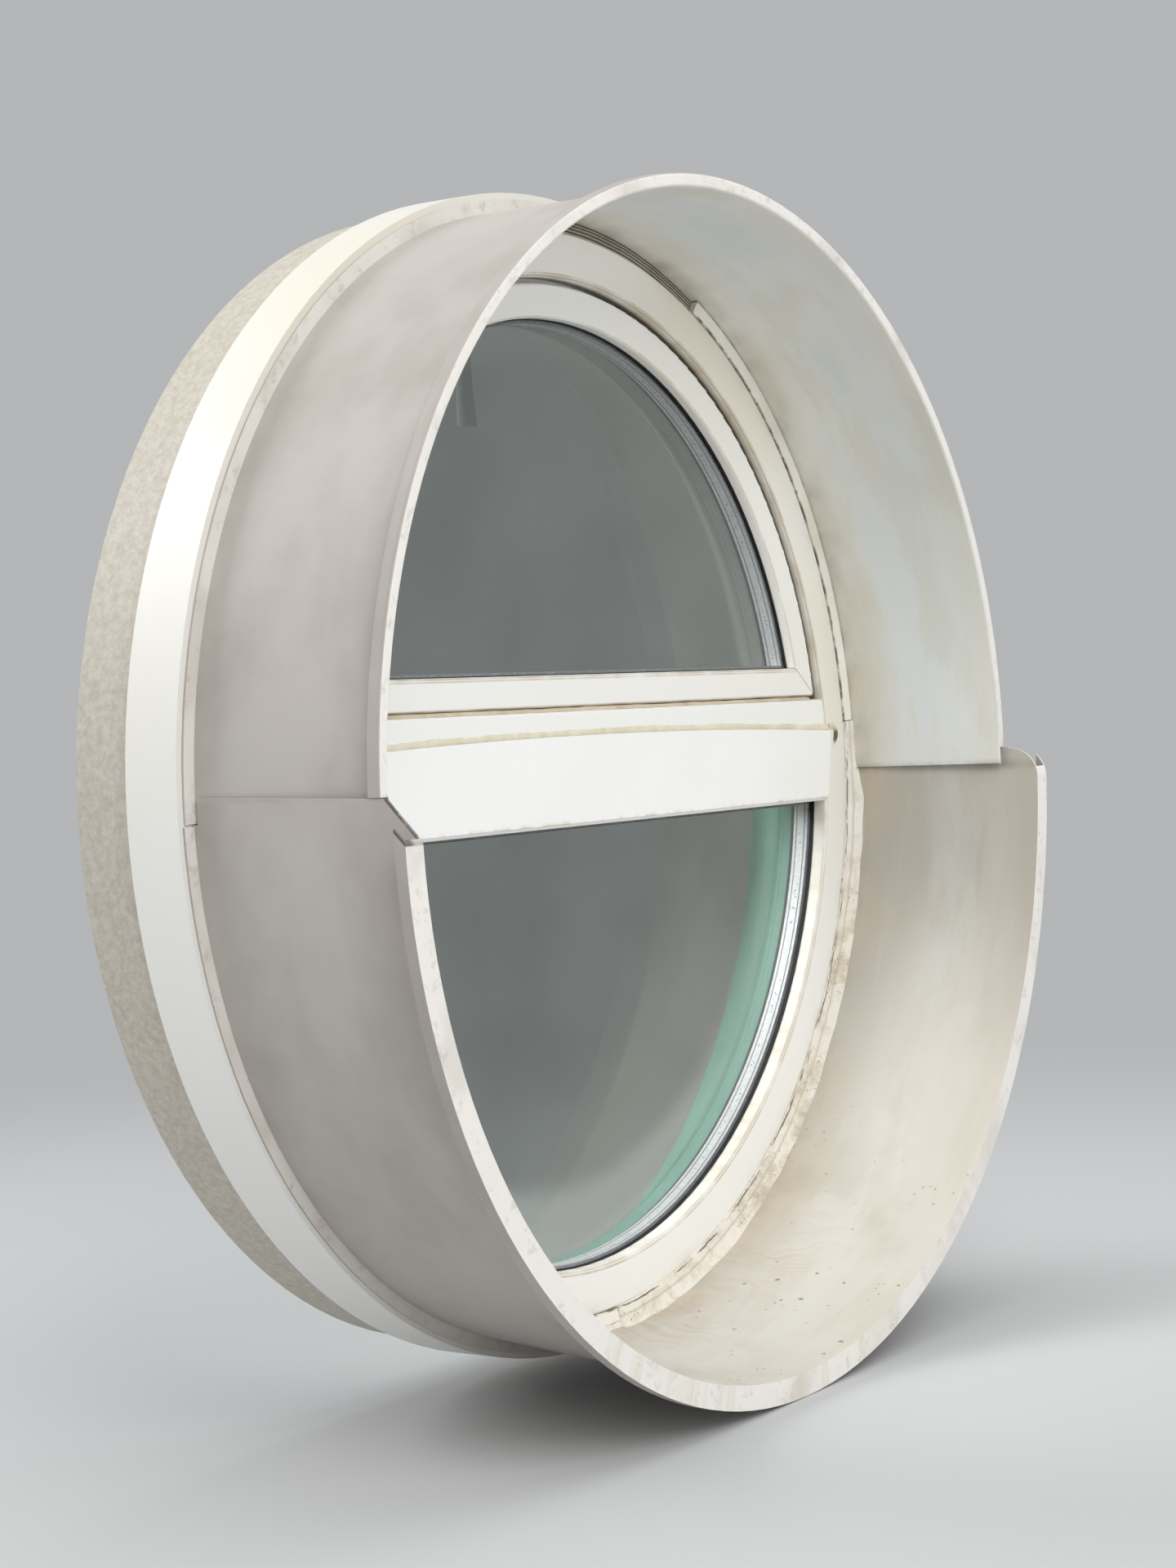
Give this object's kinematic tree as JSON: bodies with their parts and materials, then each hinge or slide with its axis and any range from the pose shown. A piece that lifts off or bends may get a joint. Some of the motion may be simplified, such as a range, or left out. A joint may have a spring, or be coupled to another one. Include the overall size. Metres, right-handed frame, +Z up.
{
  "type": "porthole window",
  "caption": "Round window with a bottom-hung half-round tilt sash above a transom, a fixed half-round pane below, and a flared sheet-metal reveal outside.",
  "frame": {"origin": "on the ring frame's axis, halfway through the 70 mm depth of the frame", "axes": "+X right as seen from outside, +Y along the axis into the room, +Z up"},
  "size_m": [1.0627, 0.336, 1.0634],
  "materials": {
    "liner_paint": "satin off-white paint",
    "window_plastic": "satin, slightly weathered white",
    "cover_plate": "smooth white",
    "bead_plastic": "satin, slightly weathered white",
    "glass": "clear, faintly green",
    "spacer_metal": "mill finish",
    "black_rubber": "matt",
    "edge_seal": "matt",
    "foam_tape": "matt open-cell foam",
    "trim_strip": "satin",
    "sealant": "dull, dirty",
    "steel_zinc": "zinc plated",
    "block_plastic": "matt",
    "hardware_white": "gloss white",
    "lining_mint": "satin pale green paint"
  },
  "bodies": {
    "frame": {"liner_upper": "liner_paint", "liner_lower": "liner_paint", "sealing_tape": "foam_tape", "cover_strip_upper": "trim_strip", "cover_strip_lower": "trim_strip", "sealant_bead": "sealant", "frame_ring": "window_plastic", "transom": "window_plastic", "transom_steel": "steel_zinc", "transom_cover": "cover_plate", "cover_caulk": "sealant", "frame_gasket": "black_rubber", "lower_outer_pane": "glass", "lower_inner_pane": "glass", "lower_spacer": "spacer_metal", "lower_edge_seal": "edge_seal", "lower_outer_gasket": "black_rubber", "lower_inner_gasket": "black_rubber", "lower_arch_bead": "bead_plastic", "lower_straight_bead": "bead_plastic", "lower_setting_blocks": "block_plastic", "hinge_frame_leaves": "hardware_white", "hinge_pins": "steel_zinc", "stay_frame_brackets": "steel_zinc", "lock_keep": "steel_zinc", "inner_lining": "lining_mint"},
    "sash": {"sash_frame": "window_plastic", "sash_gasket": "black_rubber", "sash_outer_pane": "glass", "sash_inner_pane": "glass", "sash_spacer": "spacer_metal", "sash_edge_seal": "edge_seal", "sash_outer_gasket": "black_rubber", "sash_inner_gasket": "black_rubber", "sash_arch_bead": "bead_plastic", "sash_straight_bead": "bead_plastic", "sash_setting_blocks": "block_plastic", "hinge_sash_leaves": "hardware_white", "stay_sash_brackets": "steel_zinc", "handle_rose": "hardware_white", "lock_case": "steel_zinc", "lock_faceplate": "steel_zinc"},
    "handle": {"handle_lever": "hardware_white", "lock_crank": "steel_zinc"},
    "lock_bolt": {"lock_bolt": "steel_zinc"},
    "stay_left": {"stay_arm_left": "steel_zinc"},
    "stay_right": {"stay_arm_right": "steel_zinc"}
  },
  "joints": [
    {"name": "sash_tilt", "type": "hinge", "parent": "frame", "child": "sash", "pos_m": [0, 0.047, 0.024], "axis": [-1, 0, 0], "range_deg": [0, 20]},
    {"name": "handle_turn", "type": "hinge", "parent": "sash", "child": "handle", "pos_m": [0, 0.05, 0.44], "axis": [0, 1, 0], "range_deg": [0, 90]},
    {"name": "lock_slide", "type": "slide", "parent": "sash", "child": "lock_bolt", "axis": [0, 0, 1], "range_m": [0, 0.0101]},
    {"name": "stay_left_turn", "type": "hinge", "parent": "sash", "child": "stay_left", "pos_m": [-0.47205, 0.059, 0.146], "axis": [-1, 0, 0], "range_deg": [0, 29.99]},
    {"name": "stay_right_turn", "type": "hinge", "parent": "sash", "child": "stay_right", "pos_m": [0.47205, 0.059, 0.146], "axis": [-1, 0, 0], "range_deg": [0, 29.99]}
  ],
  "couplings": [
    {"joint": "lock_slide", "follows": "handle_turn", "m_per_rad": 0.0063661},
    {"joint": "stay_left_turn", "follows": "sash_tilt", "ratio": 1.4945},
    {"joint": "stay_right_turn", "follows": "sash_tilt", "ratio": 1.4945}
  ]
}
